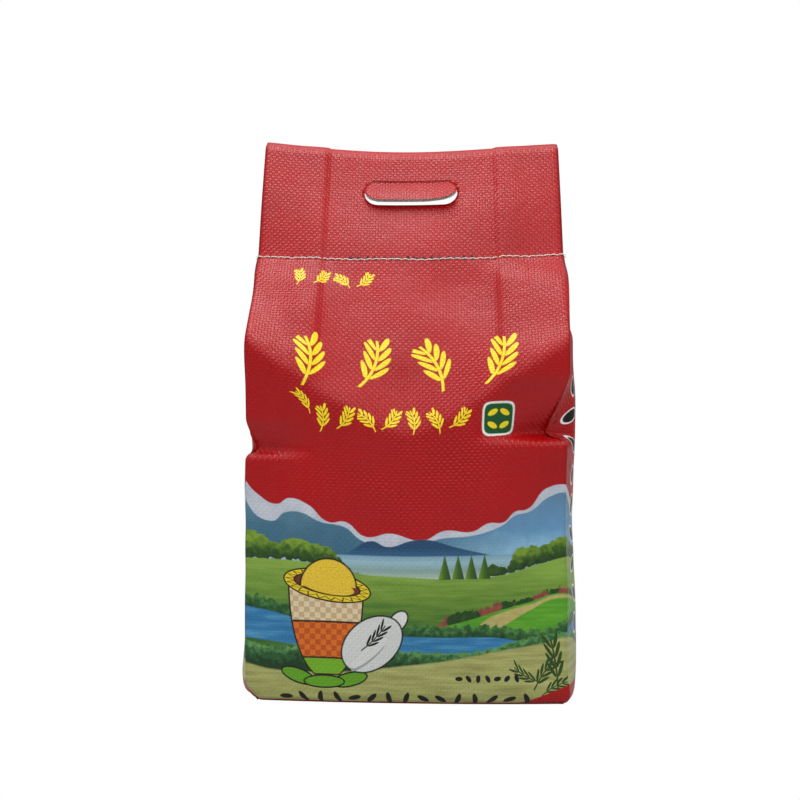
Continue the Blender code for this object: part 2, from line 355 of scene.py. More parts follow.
def snapped_to_slot(x, up):
    """Moves the grid points nearest to the slot's outline onto it. Returns them and how far each lies
    outside."""
    end = SLOT_HEIGHT / 2
    reach = slot_reach(x, up)
    near = abs(reach) < 0.5 * CELL
    middle = np.clip(x, -(SLOT_WIDTH / 2 - end), SLOT_WIDTH / 2 - end)
    length = np.maximum(reach + end, 1e-6)
    x = np.where(near, middle + (x - middle) * end / length, x)
    up = np.where(near, SLOT_UP + (up - SLOT_UP) * end / length, up)
    return x, up, np.where(near, 0.0, reach)


def grid_faces(rows, reach):
    """Quads between rows of vertices that go round the tube, left out inside the slot. A quad that the
    outline crosses from corner to corner keeps its outer half."""
    faces = []
    for row in range(len(rows) - 1):
        for i in range(ROUND_CELLS):
            j = (i + 1) % ROUND_CELLS
            corners = [(row, i), (row, j), (row + 1, j), (row + 1, i)]
            levels = [reach[corner] for corner in corners]
            if max(levels) <= 0:
                continue
            if min(levels) < 0:
                inside = levels.index(min(levels))
                corners.pop(inside)
            faces.append([rows[corner] for corner in corners])
    return faces


def open_edges(faces):
    """The edges that only one face uses, in that face's direction."""
    used = {(a, b) for face in faces for a, b in zip(face, face[1:] + face[:1])}
    return [edge for edge in used if edge[::-1] not in used]


def sack_skin(film, inside):
    """The whole skin as one closed mesh, with the grip slot cut through both panels."""
    below_flap = sack_rows()
    across, out, panel = COLUMNS["across"], COLUMNS["out"], COLUMNS["panel"]
    outer, inner, reaches, places = [], [], [], []
    for row in range(FLAP_ROWS + 1):
        up = np.full(ROUND_CELLS, FLAP * row / FLAP_ROWS)
        x, up, reach = snapped_to_slot(across * PANEL / 2, up)
        reach = np.where(panel, reach, 1.0)
        x, up = np.where(panel, x, across * PANEL / 2), np.where(panel, up, FLAP * row / FLAP_ROWS)
        outer.append(flap_skin(x, up, inner=False))
        inner.append(flap_skin(x, up, inner=True))
        reaches.append(reach)
        places.append((x, up))
    points = np.concatenate([below_flap, outer[1:], inner[::-1]])
    reach = np.concatenate([np.ones(below_flap.shape[:2]), reaches[1:], reaches[::-1]])
    index = np.arange(points.shape[0] * ROUND_CELLS).reshape(points.shape[:2])
    mouth = len(below_flap) + FLAP_ROWS
    faces = grid_faces(index, reach)
    # The slot's rims, from the outer skin's cut edge to the inner skin's.
    for a, b in open_edges(faces):
        row_a, row_b = a // ROUND_CELLS, b // ROUND_CELLS
        if len(below_flap) <= min(row_a, row_b) and max(row_a, row_b) < mouth:
            facing = [int(index[2 * mouth - 1 - row, k % ROUND_CELLS]) for row, k in ((row_a, a), (row_b, b))]
            faces.append([b, a, facing[0], facing[1]])
    faces += [face[::-1] for face in floor_faces(index[0])] + floor_faces(index[-1])

    flat_u = np.arange(ROUND_CELLS) * CELL + 0 * reach
    flat_v = (np.arange(len(reach))[:, None] - BASE_ROWS) * CELL + 0 * reach
    for row in range(FLAP_ROWS + 1):
        moved = np.where(panel, places[row][0] - across * PANEL / 2, 0.0) * -out
        for skin_row in (len(below_flap) - 1 + row, 2 * mouth - len(below_flap) - row):
            flat_u[skin_row] += moved
            flat_v[skin_row] = WALL + places[row][1]
    mesh = mesh_of("sack_cloth", points.reshape(-1, 3), faces, flat_u.ravel(), flat_v.ravel(), ROUND_CELLS)
    inner_from = mouth * ROUND_CELLS
    for polygon in mesh.polygons:
        polygon.material_index = int(max(polygon.vertices) >= inner_from)
    lay_out(mesh, index, mouth)
    mesh.materials.append(film)
    mesh.materials.append(inside)
    tidy = bmesh.new()
    tidy.from_mesh(mesh)
    bmesh.ops.delete(tidy, geom=[v for v in tidy.verts if not v.link_faces], context="VERTS")
    tidy.to_mesh(mesh)
    tidy.free()
    return shown("sack_cloth", mesh)


def mesh_of(name, points, faces, flat_u, flat_v, columns):
    """A smooth mesh whose map named print holds each vertex's place on the flat cloth, in metres."""
    mesh = bpy.data.meshes.new(name)
    mesh.from_pydata(points.tolist(), [], [[int(k) for k in face] for face in faces])
    mesh.shade_smooth()
    corners = np.array([loop.vertex_index for loop in mesh.loops])
    column = corners % columns
    u = flat_u[corners]
    if columns == ROUND_CELLS:
        for polygon in mesh.polygons:
            own = slice(polygon.loop_start, polygon.loop_start + polygon.loop_total)
            if np.ptp(column[own]) > columns // 2:
                u[own] += np.where(column[own] < columns // 2, ROUND_CELLS * CELL, 0.0)
    flat = mesh.uv_layers.new(name="print")
    flat.uv.foreach_set("vector", np.stack([u, flat_v[corners]], axis=-1).astype(np.float32).ravel())
    return mesh


def lay_out(mesh, index, mouth):
    """The map named OFBake: the unrolled tube, with more room for the front, and the inside in a strip at the
    top."""
    flat = np.zeros(len(mesh.loops) * 2, dtype=np.float32)
    mesh.uv_layers["print"].uv.foreach_get("vector", flat)
    u = flat.reshape(-1, 2)[:, 0]
    row = np.array([loop.vertex_index for loop in mesh.loops]) // ROUND_CELLS
    edges = np.cumsum([0, PANEL, GUSSET, PANEL, GUSSET])
    across = np.interp(u, edges, [0.0, 0.42, 0.55, 0.87, 1.0])
    up = np.interp(row, [0, mouth - 1, mouth, len(index) - 1], [0.0, 0.90, 0.905, 1.0])
    baked = mesh.uv_layers.new(name="OFBake")
    baked.uv.foreach_set("vector", np.stack([across, up], axis=-1).astype(np.float32).ravel())


def shown(name, mesh):
    made = bpy.data.objects.new(name, mesh)
    bpy.context.scene.collection.objects.link(made)
    return made


def tongue(name, out, film, inside):
    """The piece punched from one panel, still joined along the slot's top and pushed forwards."""
    rows, columns = 12, 32
    half = SLOT_HEIGHT / 2
    turns = math.pi * np.arange(rows) / (rows - 1)
    level = np.concatenate([[half + TONGUE_ROOT], half * np.cos(turns)])
    end = half - TONGUE_GAP
    wide = SLOT_WIDTH / 2 - half + np.sqrt(np.maximum(end**2 - np.minimum(level, half) ** 2, 0.0))
    share = np.linspace(-1, 1, columns + 1)
    x = wide[:, None] * share
    drop = (half - level)[:, None] + 0 * x
    swing = TONGUE_SWING + math.radians(7) * ease((x - 0.01) / 0.03) - math.radians(4) * (out > 0)
    bow = 0.8 * MM * (1 - share**2) * np.sin(math.pi * np.clip(drop / SLOT_HEIGHT, 0, 1))
    layer = -out * (PANEL_LAYER - 0.9 * SHEET)
    forward = layer + drop.clip(0) * np.sin(swing) + bow
    up = SLOT_UP + half - drop * np.where(drop > 0, np.cos(swing), 1.0)
    middle = flap_middle(x, up)
    sheets = [middle + (forward + side * 0.5 * SHEET)[..., None] * FORWARD for side in (1, -1)]
    count = x.size
    index = np.arange(count).reshape(x.shape)
    faces = []
    for row in range(len(level) - 1):
        for i in range(columns):
            corners = [index[row, i], index[row + 1, i], index[row + 1, i + 1], index[row, i + 1]]
            faces += [corners, [count + k for k in reversed(corners)]]
    for a, b in open_edges(faces):
        if a < count:
            faces.append([b, a, a + count, b + count])
    u = (x + PANEL / 2) if out < 0 else (PANEL + GUSSET + PANEL / 2 - x)
    v = WALL + SLOT_UP + half - drop
    points = np.concatenate([sheet.reshape(-1, 3) for sheet in sheets])
    mesh = mesh_of(name, points, faces, np.tile(u.ravel(), 2), np.tile(v.ravel(), 2), 1)
    mesh.materials.append(film)
    mesh.materials.append(inside)
    for polygon in mesh.polygons:
        in_front = max(polygon.vertices) < count
        polygon.material_index = int(in_front != (out < 0))
    return shown(name, mesh)


# ---------------------------------------------------------------- stitches


def stitch_tree(name, looped):
    """Repeats one stitch along a line: a bowed length of thread, or the flat loop it makes at the back."""
    tree = bpy.data.node_groups.new(name, "GeometryNodeTree")
    sockets = (
        ("Geometry", "INPUT", "NodeSocketGeometry"),
        ("Pitch", "INPUT", "NodeSocketFloat"),
        ("Thread radius", "INPUT", "NodeSocketFloat"),
        ("Thread", "INPUT", "NodeSocketMaterial"),
        ("Geometry", "OUTPUT", "NodeSocketGeometry"),
    )
    for socket, way, kind in sockets:
        tree.interface.new_socket(socket, in_out=way, socket_type=kind)
    given = tree.nodes.new("NodeGroupInput").outputs
    spaced = add(tree, "GeometryNodeResampleCurve", {"Curve": given[0], "Length": given[1]}, mode="LENGTH")
    tangent = add(tree, "GeometryNodeInputTangent")
    turn = add(tree, "FunctionNodeAlignRotationToVector", {"Vector": tangent}, axis="X", pivot_axis="AUTO")
    uneven = add(
        tree,
        "FunctionNodeRandomValue",
        {0: (-0.05, -0.10, -0.16), 1: (0.05, 0.10, 0.16), "Seed": 5},
        data_type="FLOAT_VECTOR",
    )
    euler = add(tree, "FunctionNodeEulerToRotation", {0: uneven})
    turn = add(tree, "FunctionNodeRotateRotation", {0: turn, 1: euler}, rotation_space="LOCAL")
    if looped:
        ring = add(tree, "GeometryNodeCurvePrimitiveCircle", {"Resolution": 14, "Radius": 0.5})
        shape = (1.15, 0.42, 1.0)
    else:
        ring = add(
            tree,
            "GeometryNodeCurveQuadraticBezier",
            {"Resolution": 7, "Start": (-0.47, 0, -0.06), "Middle": (0, 0.05, 0.16), "End": (0.47, 0, -0.06)},
        )
        shape = (1.0, 1.0, 1.0)
    size = add(tree, "ShaderNodeVectorMath", {0: shape, "Scale": given[1]}, operation="SCALE")
    ring = add(tree, "GeometryNodeTransform", {"Geometry": ring, "Scale": size})
    section = add(tree, "GeometryNodeCurvePrimitiveCircle", {"Resolution": 7, "Radius": given[2]})
    tube = {"Curve": ring, "Profile Curve": section, "Fill Caps": not looped}
    stitch = add(tree, "GeometryNodeCurveToMesh", tube)
    laid = {"Points": spaced, "Instance": stitch, "Rotation": turn}
    copies = add(tree, "GeometryNodeInstanceOnPoints", laid)
    real = add(tree, "GeometryNodeRealizeInstances", {"Geometry": copies})
    smooth = add(tree, "GeometryNodeSetShadeSmooth", {"Geometry": real})
    done = add(tree, "GeometryNodeSetMaterial", {"Geometry": smooth, "Material": given[3]})
    made = tree.nodes.new("NodeGroupOutput")
    tree.links.new(done, made.inputs[0])
    return tree


def stitched(name, line, tree, pitch, radius, thread):
    """Runs a stitch tree along a line of points and keeps the result as a plain mesh."""
    curve = bpy.data.curves.new(name + "_line", "CURVE")
    curve.dimensions = "3D"
    spline = curve.splines.new("POLY")
    spline.points.add(len(line) - 1)
    for point, place in zip(spline.points, line):
        point.co = (*place, 1)
    guide = bpy.data.objects.new(name + "_line", curve)
    bpy.context.scene.collection.objects.link(guide)
    modifier = guide.modifiers.new("stitches", "NODES")
    modifier.node_group = tree
    values = {"Pitch": pitch, "Thread radius": radius, "Thread": thread}
    for item in tree.interface.items_tree:
        if item.in_out == "INPUT" and item.name in values:
            modifier[item.identifier] = values[item.name]
    graph = bpy.context.evaluated_depsgraph_get()
    mesh = bpy.data.meshes.new_from_object(guide.evaluated_get(graph))
    bpy.data.objects.remove(guide)
    return shown(name, mesh)


def closure_stitches(thread):
    """The chain-stitched closure: single threads on the front, loops on the back."""
    made = []
    x = np.linspace(-PANEL / 2 + 1 * MM, PANEL / 2 - 1 * MM, 80)
    for name, out, looped in (("front", -1, False), ("back", 1, True)):
        away = -out * (PANEL_LAYER + gusset_lift(x)[:, None] + SHEET / 2 + STITCH_RADIUS * 0.6)
        sway = 0.25 * MM * waves(x, 0 * x, 20 * MM, 7)
        line = flap_middle(x, STITCH_UP + sway) + away * FORWARD
        tree = stitch_tree(name + "_stitch", looped)
        made.append(stitched("closure_stitches_" + name, line, tree, STITCH_PITCH, STITCH_RADIUS, thread))
    return made


# ---------------------------------------------------------------- materials


def srgb(hex_colour):
    """A hex colour as linear red, green, blue and alpha."""
    channels = [int(hex_colour[i : i + 2], 16) / 255 for i in (1, 3, 5)]
    return (*[c / 12.92 if c <= 0.04045 else ((c + 0.055) / 1.055) ** 2.4 for c in channels], 1.0)


def add(tree, kind, inputs=None, out=0, **settings):
    """Adds a node with its settings, values and links, and returns one of its outputs."""
    made = tree.nodes.new(kind)
    for key, value in settings.items():
        setattr(made, key, value)
    for key, value in (inputs or {}).items():
        if isinstance(value, bpy.types.NodeSocket):
            tree.links.new(value, made.inputs[key])
        else:
            made.inputs[key].default_value = value
    return made.outputs[out]


def new_material(name):
    made = bpy.data.materials.new(name)
    made.use_nodes = True
    return made, made.node_tree, made.node_tree.nodes["Principled BSDF"]


def line_along(tree, along, points, top):
    """A line's height over a length from 0 to 1, smooth through its points, whose heights are up to top."""
    curve = add(tree, "ShaderNodeFloatCurve", {"Value": along})
    handles = curve.node.mapping.curves[0].points
    while len(handles) < len(points):
        handles.new(0.5, 0.5)
    for handle, (at, height) in zip(handles, points):
        handle.location = (at, height / top)
    curve.node.mapping.update()
    return add(tree, "ShaderNodeMath", {0: curve, 1: top}, operation="MULTIPLY")


def below(tree, height, line, soft=0.7):
    """1 where a height is under a line, with an edge soft millimetres wide."""
    room = add(tree, "ShaderNodeMath", {0: line, 1: height}, operation="SUBTRACT")
    return add(tree, "ShaderNodeMapRange", {"Value": room, "From Min": -soft / 2, "From Max": soft / 2})


def placed(tree, place, at, size, turn=0.0):
    """A place seen from a mark's own middle, turned with it, and between -1 and 1 over its size."""
    inputs = {"Vector": place, "Location": (*at, 0), "Rotation": (0, 0, turn), "Scale": (*size, 1)}
    return add(tree, "ShaderNodeMapping", inputs, vector_type="TEXTURE")


def oval(tree, place, at, size, turn=0.0, soft=0.4):
    """1 inside an oval of half sizes size, turned and centred at a place in millimetres."""
    local = placed(tree, place, at, size, turn)
    reach = add(tree, "ShaderNodeVectorMath", {0: local}, out="Value", operation="LENGTH")
    edge = soft / max(size)
    return add(tree, "ShaderNodeMapRange", {"Value": reach, "From Min": 1 + edge, "From Max": 1 - edge})


def both(tree, first, second):
    return add(tree, "ShaderNodeMath", {0: first, 1: second}, operation="MULTIPLY")


def either(tree, first, second):
    return add(tree, "ShaderNodeMath", {0: first, 1: second}, operation="MAXIMUM")


def paint(tree, under, colour, mask):
    """A layer of ink over what is under it. colour is a hex value or a colour socket."""
    ink = srgb(colour) if isinstance(colour, str) else colour
    return add(tree, "ShaderNodeMix", {0: mask, 6: under, 7: ink}, out=2, data_type="RGBA")


def blend_of(tree, share, *colours):
    """A smooth run through colours, evenly spaced from 0 to 1."""
    ramp = add(tree, "ShaderNodeValToRGB", {0: share})
    stops = ramp.node.color_ramp.elements
    while len(stops) < len(colours):
        stops.new(0.5)
    for i, (stop, colour) in enumerate(zip(stops, colours)):
        stop.position = i / (len(colours) - 1)
        stop.color = srgb(colour)
    return ramp


def mottled(tree, height, low, high, noise, share, less):
    """0 to 1 from a low to a high height, broken up by a share of noise and lowered a little."""
    rise = add(tree, "ShaderNodeMapRange", {"Value": height, "From Min": low, "From Max": high})
    rise = add(tree, "ShaderNodeMath", {0: noise, 1: share, 2: rise}, operation="MULTIPLY_ADD")
    return add(tree, "ShaderNodeMath", {0: rise, 1: less}, operation="SUBTRACT")


def apart(tree, first, second):
    """How far two heights are from each other, whichever is higher."""
    room = add(tree, "ShaderNodeMath", {0: first, 1: second}, operation="SUBTRACT")
    return add(tree, "ShaderNodeMath", {0: room}, operation="ABSOLUTE")


def ear_of_grain():
    """A stamp: an ear of rice with grains up both sides of a bent stem, drawn between -1 and 1."""
    group = bpy.data.node_groups.new("ear_of_grain", "ShaderNodeTree")
    group.interface.new_socket("Place", in_out="INPUT", socket_type="NodeSocketVector")
    group.interface.new_socket("Bend", in_out="INPUT", socket_type="NodeSocketFloat")
    group.interface.new_socket("Ink", in_out="OUTPUT", socket_type="NodeSocketFloat")
    given = group.nodes.new("NodeGroupInput")
    place, bend = given.outputs["Place"], given.outputs["Bend"]
    split = add(group, "ShaderNodeSeparateXYZ", {0: place}).node
    x, y = split.outputs[0], split.outputs[1]
    curve = add(group, "ShaderNodeMath", {0: y, 1: y}, operation="MULTIPLY")
    lean = add(group, "ShaderNodeMath", {0: curve, 1: bend, 2: x}, operation="MULTIPLY_ADD")
    away = add(group, "ShaderNodeMath", {0: lean}, operation="ABSOLUTE")
    # Grains lie aslant, so a row of them is counted along a slanted height.
    slant = add(group, "ShaderNodeMath", {0: away, 1: -0.85, 2: y}, operation="MULTIPLY_ADD")
    count = add(group, "ShaderNodeMath", {0: slant, 1: 2.6}, operation="MULTIPLY")
    within = add(group, "ShaderNodeMath", {0: count}, operation="FRACT")
    up = add(group, "ShaderNodeMapRange", {"Value": within, "To Min": -1.25, "To Max": 1.25})
    wide = {"Value": away, "From Min": 0.06, "From Max": 0.72, "To Min": -1, "To Max": 1}
    wide = add(group, "ShaderNodeMapRange", wide)
    wide.node.clamp = False
    reach = add(group, "ShaderNodeCombineXYZ", {0: wide, 1: up})
    length = add(group, "ShaderNodeVectorMath", {0: reach}, out="Value", operation="LENGTH")
    grain = add(group, "ShaderNodeMapRange", {"Value": length, "From Min": 1.05, "From Max": 0.9})
    top = add(group, "ShaderNodeMapRange", {"Value": slant, "From Min": 0.80, "From Max": 0.76})
    foot = add(group, "ShaderNodeMapRange", {"Value": slant, "From Min": -0.80, "From Max": -0.76})
    grains = both(group, grain, both(group, top, foot))
    stem = add(group, "ShaderNodeMapRange", {"Value": away, "From Min": 0.09, "From Max": 0.06})
    ends = add(group, "ShaderNodeMath", {0: y}, operation="ABSOLUTE")
    ends = add(group, "ShaderNodeMapRange", {"Value": ends, "From Min": 1.0, "From Max": 0.96})
    stem = both(group, stem, ends)
    ink = either(group, grains, stem)
    given_out = group.nodes.new("NodeGroupOutput")
    group.links.new(ink, given_out.inputs["Ink"])
    return group


def in_row(tree, along, up, first, pitch, count, middle):
    """Places for a row of equal marks: a vector from the nearest mark's middle, the mark's number, and 1 on
    the row and 0 past its ends."""
    steps = add(tree, "ShaderNodeMath", {0: along, 1: first - pitch / 2}, operation="SUBTRACT")
    steps = add(tree, "ShaderNodeMath", {0: steps, 1: pitch}, operation="DIVIDE")
    number = add(tree, "ShaderNodeMath", {0: steps}, operation="FLOOR")
    within = add(tree, "ShaderNodeMath", {0: steps, 1: number}, operation="SUBTRACT")
    x = add(tree, "ShaderNodeMath", {0: within, 1: pitch, 2: -pitch / 2}, operation="MULTIPLY_ADD")
    y = add(tree, "ShaderNodeMath", {0: up, 1: middle}, operation="SUBTRACT")
    vector = add(tree, "ShaderNodeCombineXYZ", {0: x, 1: y})
    past = add(tree, "ShaderNodeMath", {0: steps, 1: count / 2, 2: count / 2 - 0.001}, operation="COMPARE")
    return vector, number, past


def turned(tree, vector, number, size, swing):
    """A mark's own place between -1 and 1, turned by a different small angle for each number."""
    angle = add(tree, "ShaderNodeMath", {0: number, 1: 2.4}, operation="MULTIPLY")
    angle = add(tree, "ShaderNodeMath", {0: angle}, operation="SINE")
    angle = add(tree, "ShaderNodeMath", {0: angle, 1: swing}, operation="MULTIPLY")
    spun = add(tree, "ShaderNodeVectorRotate", {"Vector": vector, "Angle": angle}, rotation_type="Z_AXIS")
    scale = (1 / size[0], 1 / size[1], 1)
    return add(tree, "ShaderNodeVectorMath", {0: spun, 1: scale}, operation="MULTIPLY")


def landscape(tree, red, along, x, up, place):
    """A plain printed landscape round the lower half of the tube: hills, a lake, a meadow and a river."""
    fine = add(tree, "ShaderNodeTexNoise", {"Vector": place, "Scale": 0.22, "Detail": 3.0})
    broad = add(tree, "ShaderNodeTexNoise", {"Vector": place, "Scale": 0.07, "Detail": 2.0})
    stretched = add(tree, "ShaderNodeVectorMath", {0: place, 1: (0.03, 0.25, 1)}, operation="MULTIPLY")
    streaks = add(tree, "ShaderNodeTexNoise", {"Vector": stretched, "Scale": 1.0, "Detail": 3.0})
    # Leafy outlines: heights pushed up and down by clumps a few millimetres across.
    leafy = add(tree, "ShaderNodeMath", {0: fine, 1: 9.0, 2: -4.5}, operation="MULTIPLY_ADD")
    leafy = add(tree, "ShaderNodeMath", {0: up, 1: leafy}, operation="ADD")

    def line(points):
        return line_along(tree, along, points, 200.0)

    def band(ink, top, low, height=up):
        return paint(tree, colour, ink, both(tree, below(tree, height, top), below(tree, low, height)))

    # Snowy ridges before the red sky, and blue slopes before the snow.
    snow = line([(0, 168), (0.03, 158), (0.07, 152), (0.10, 157), (0.14, 153), (0.19, 140), (0.22, 141),
                 (0.27, 130), (0.32, 133), (0.39, 128), (0.44, 135), (0.50, 134), (0.54, 140), (0.57, 140),
                 (0.60, 148), (0.625, 149), (0.67, 164), (0.71, 166), (0.80, 150), (0.87, 158), (0.93, 146),
                 (1, 168)])
    slopes = line([(0, 154), (0.06, 139), (0.09, 146), (0.12, 147), (0.17, 140), (0.22, 137), (0.26, 127),
                   (0.31, 123), (0.38, 124), (0.43, 129), (0.50, 131), (0.54, 134), (0.57, 138), (0.60, 145),
                   (0.63, 147), (0.68, 158), (0.71, 160), (0.80, 140), (0.87, 147), (0.93, 134), (1, 154)])
    far = line([(0, 108), (0.20, 112), (0.24, 120), (0.28, 127), (0.315, 123), (0.37, 128), (0.40, 128.5),
                (0.46, 123), (0.52, 118), (0.58, 113), (0.8, 108), (1, 108)])
    colour = paint(tree, red, blend_of(tree, broad, "#AAB4C4", "#D6D9DF"), below(tree, up, snow))
    depth = mottled(tree, up, 112, 158, broad, 0.6, 0.3)
    side = add(tree, "ShaderNodeMapRange", {"Value": along, "From Min": 0.36, "From Max": 0.60})
    slopes_ink = paint(tree, blend_of(tree, depth, "#41708A", "#4F7A90", "#6B93A6"),
                       blend_of(tree, depth, "#9CC6DE", "#6F9DC0", "#6A8FAE"), side)
    colour = paint(tree, colour, slopes_ink, below(tree, up, slopes))
    depth = add(tree, "ShaderNodeMapRange", {"Value": up, "From Min": 116, "From Max": 129})
    colour = paint(tree, colour, blend_of(tree, depth, "#3F6D90", "#2B5578", "#2F5576"), below(tree, up, far))
    lake = add(tree, "ShaderNodeMapRange", {"Value": up, "From Min": 99, "From Max": 117})
    lake_ink = blend_of(tree, lake, "#B3C6B4", "#8FABA8", "#9FC0CC", "#7FA4B8")
    colour = band(lake_ink, 116.0, 90.0)

    # Round trees at both sides of the lake, with a shaded foot, and the meadow before them.
    crowns = line([(0, 131), (0.03, 130), (0.07, 123), (0.11, 127), (0.15, 124), (0.19, 120), (0.24, 104),
                   (0.50, 92), (0.55, 108), (0.58, 106), (0.60, 119), (0.66, 121), (0.71, 127), (0.80, 118),
                   (0.88, 124), (0.94, 118), (1, 131)])
    feet = line([(0, 110), (0.15, 109), (0.25, 102), (0.36, 100), (0.5, 98), (0.58, 101), (0.66, 108),
                 (0.72, 112), (0.85, 106), (1, 110)])
    shade = add(tree, "ShaderNodeMath", {0: up, 1: feet}, operation="SUBTRACT")
    shade = mottled(tree, shade, -2, 15, fine, 1.2, 0.62)
    colour = band(blend_of(tree, shade, "#22391A", "#3F6424", "#86A63A"), crowns, feet, leafy)
    grass = mottled(tree, up, 48, 108, streaks, 0.9, 0.42)
    meadow_ink = blend_of(tree, grass, "#3E6F2C", "#5A8433", "#789A3E", "#8FAF50")
    colour = paint(tree, colour, meadow_ink, below(tree, up, feet))

    # Four slim trees by the water.
    vector, _, past = in_row(tree, x, up, 29.0, 10.4, 4, 108.0)
    split = add(tree, "ShaderNodeSeparateXYZ", {0: vector}).node
    narrow = {"Value": split.outputs[1], "From Min": -10, "From Max": 12, "To Min": 5.0, "To Max": -0.8}
    narrow = add(tree, "ShaderNodeMapRange", narrow)
    aside = add(tree, "ShaderNodeMath", {0: split.outputs[0]}, operation="ABSOLUTE")
    slim = both(tree, below(tree, aside, narrow), below(tree, -10.0, split.outputs[1]))
    tint = add(tree, "ShaderNodeMapRange", {"Value": split.outputs[0], "From Min": -5, "From Max": 5})
    needles = blend_of(tree, tint, "#7DA03A", "#456F22", "#2A4F1A")
    colour = paint(tree, colour, needles, both(tree, slim, past))

    # A hedge with a few reddish bushes, a bright field and a tan path on the right.
    near = below(tree, 0.40, along, 0.02)
    hedge = line([(0, 60), (0.40, 60), (0.46, 72), (0.53, 76), (0.57, 80), (0.62, 82), (0.66, 86), (0.72, 90),
                  (0.80, 66), (1, 60)])
    field = line([(0, 40), (0.40, 58), (0.45, 63), (0.52, 69), (0.57, 74), (0.63, 79), (0.71, 85), (0.85, 60),
                  (1, 40)])
    path = line([(0, 40), (0.45, 50), (0.54, 61), (0.58, 68), (0.63, 75), (0.71, 83), (0.85, 60), (1, 40)])
    russet = blend_of(tree, fine, "#6E3A30", "#B06A58")
    leaves = blend_of(tree, fine, "#173516", "#27501F", "#477A2C")
    spots = add(tree, "ShaderNodeTexNoise", {"Vector": place, "Scale": 0.055, "Detail": 0.0})
    hedge_ink = paint(tree, leaves, russet, below(tree, 0.53, spots, 0.03))
    hedged = both(tree, below(tree, leafy, hedge), below(tree, field, up))
    colour = paint(tree, colour, hedge_ink, both(tree, near, hedged))
    bright = blend_of(tree, streaks, "#3F8A1E", "#62A82E", "#8CC244")
    colour = paint(tree, colour, bright, both(tree, near, below(tree, up, field)))
    off_path = apart(tree, up, path)
    wide = line([(0, 0), (0.44, 0), (0.49, 1), (0.54, 7), (0.58, 5), (0.65, 1.6), (0.71, 1.2),
                 (0.8, 0), (1, 0)])
    tan = blend_of(tree, fine, "#A89E5C", "#CFC488")
    colour = paint(tree, colour, tan, both(tree, near, below(tree, off_path, wide, 1.2)))

    # The river between two banks of bushes, and the pale near ground.
    river = line([(0, 62), (0.08, 58), (0.16, 52), (0.30, 48), (0.42, 47), (0.55, 48), (0.64, 49), (0.73, 54),
                  (0.88, 58), (1, 62)])
    width = line([(0, 12), (0.08, 11), (0.20, 8), (0.40, 7), (0.55, 5), (0.63, 1), (0.68, 0),
                  (0.74, 6), (0.88, 10), (1, 12)])
    bank = add(tree, "ShaderNodeMath", {0: river, 1: width}, operation="ADD")
    bank = add(tree, "ShaderNodeMath", {0: leafy, 1: bank}, operation="SUBTRACT")
    tufts = mottled(tree, bank, -4, 11, fine, 1.3, 0.65)
    bushes = blend_of(tree, tufts, "#1C3F22", "#2F6233", "#5F9450")
    colour = paint(tree, colour, bushes, both(tree, below(tree, bank, 9.0), below(tree, -6.0, bank)))
    off_river = apart(tree, up, river)
    water = blend_of(tree, streaks, "#1C5E92", "#3C86B4", "#7FC0D8")
    colour = paint(tree, colour, water, below(tree, off_river, width))
    front = line([(0, 48), (0.06, 44), (0.12, 45), (0.20, 43), (0.30, 44), (0.42, 42), (0.52, 43), (0.60, 50),
                  (0.66, 54), (0.72, 56), (0.88, 46), (1, 48)])
    tufts = add(tree, "ShaderNodeMath", {0: leafy, 1: front}, operation="SUBTRACT")
    tufts = mottled(tree, tufts, -14, 1, fine, 1.1, 0.6)
    bushes = blend_of(tree, tufts, "#1E4524", "#356B3A", "#74A868")
    colour = paint(tree, colour, bushes, below(tree, leafy, front))
    ground = line([(0, 31), (0.07, 26), (0.22, 26), (0.34, 31), (0.45, 36), (0.55, 42), (0.66, 48),
                   (0.72, 52), (0.85, 34), (1, 31)])
    dust = add(tree, "ShaderNodeMath", {0: streaks, 1: 1.1, 2: -0.05}, operation="MULTIPLY_ADD")
    ground_ink = blend_of(tree, dust, "#7F7C45", "#ABAE6E", "#CDD096")
    return paint(tree, colour, ground_ink, below(tree, up, ground, 1.5))


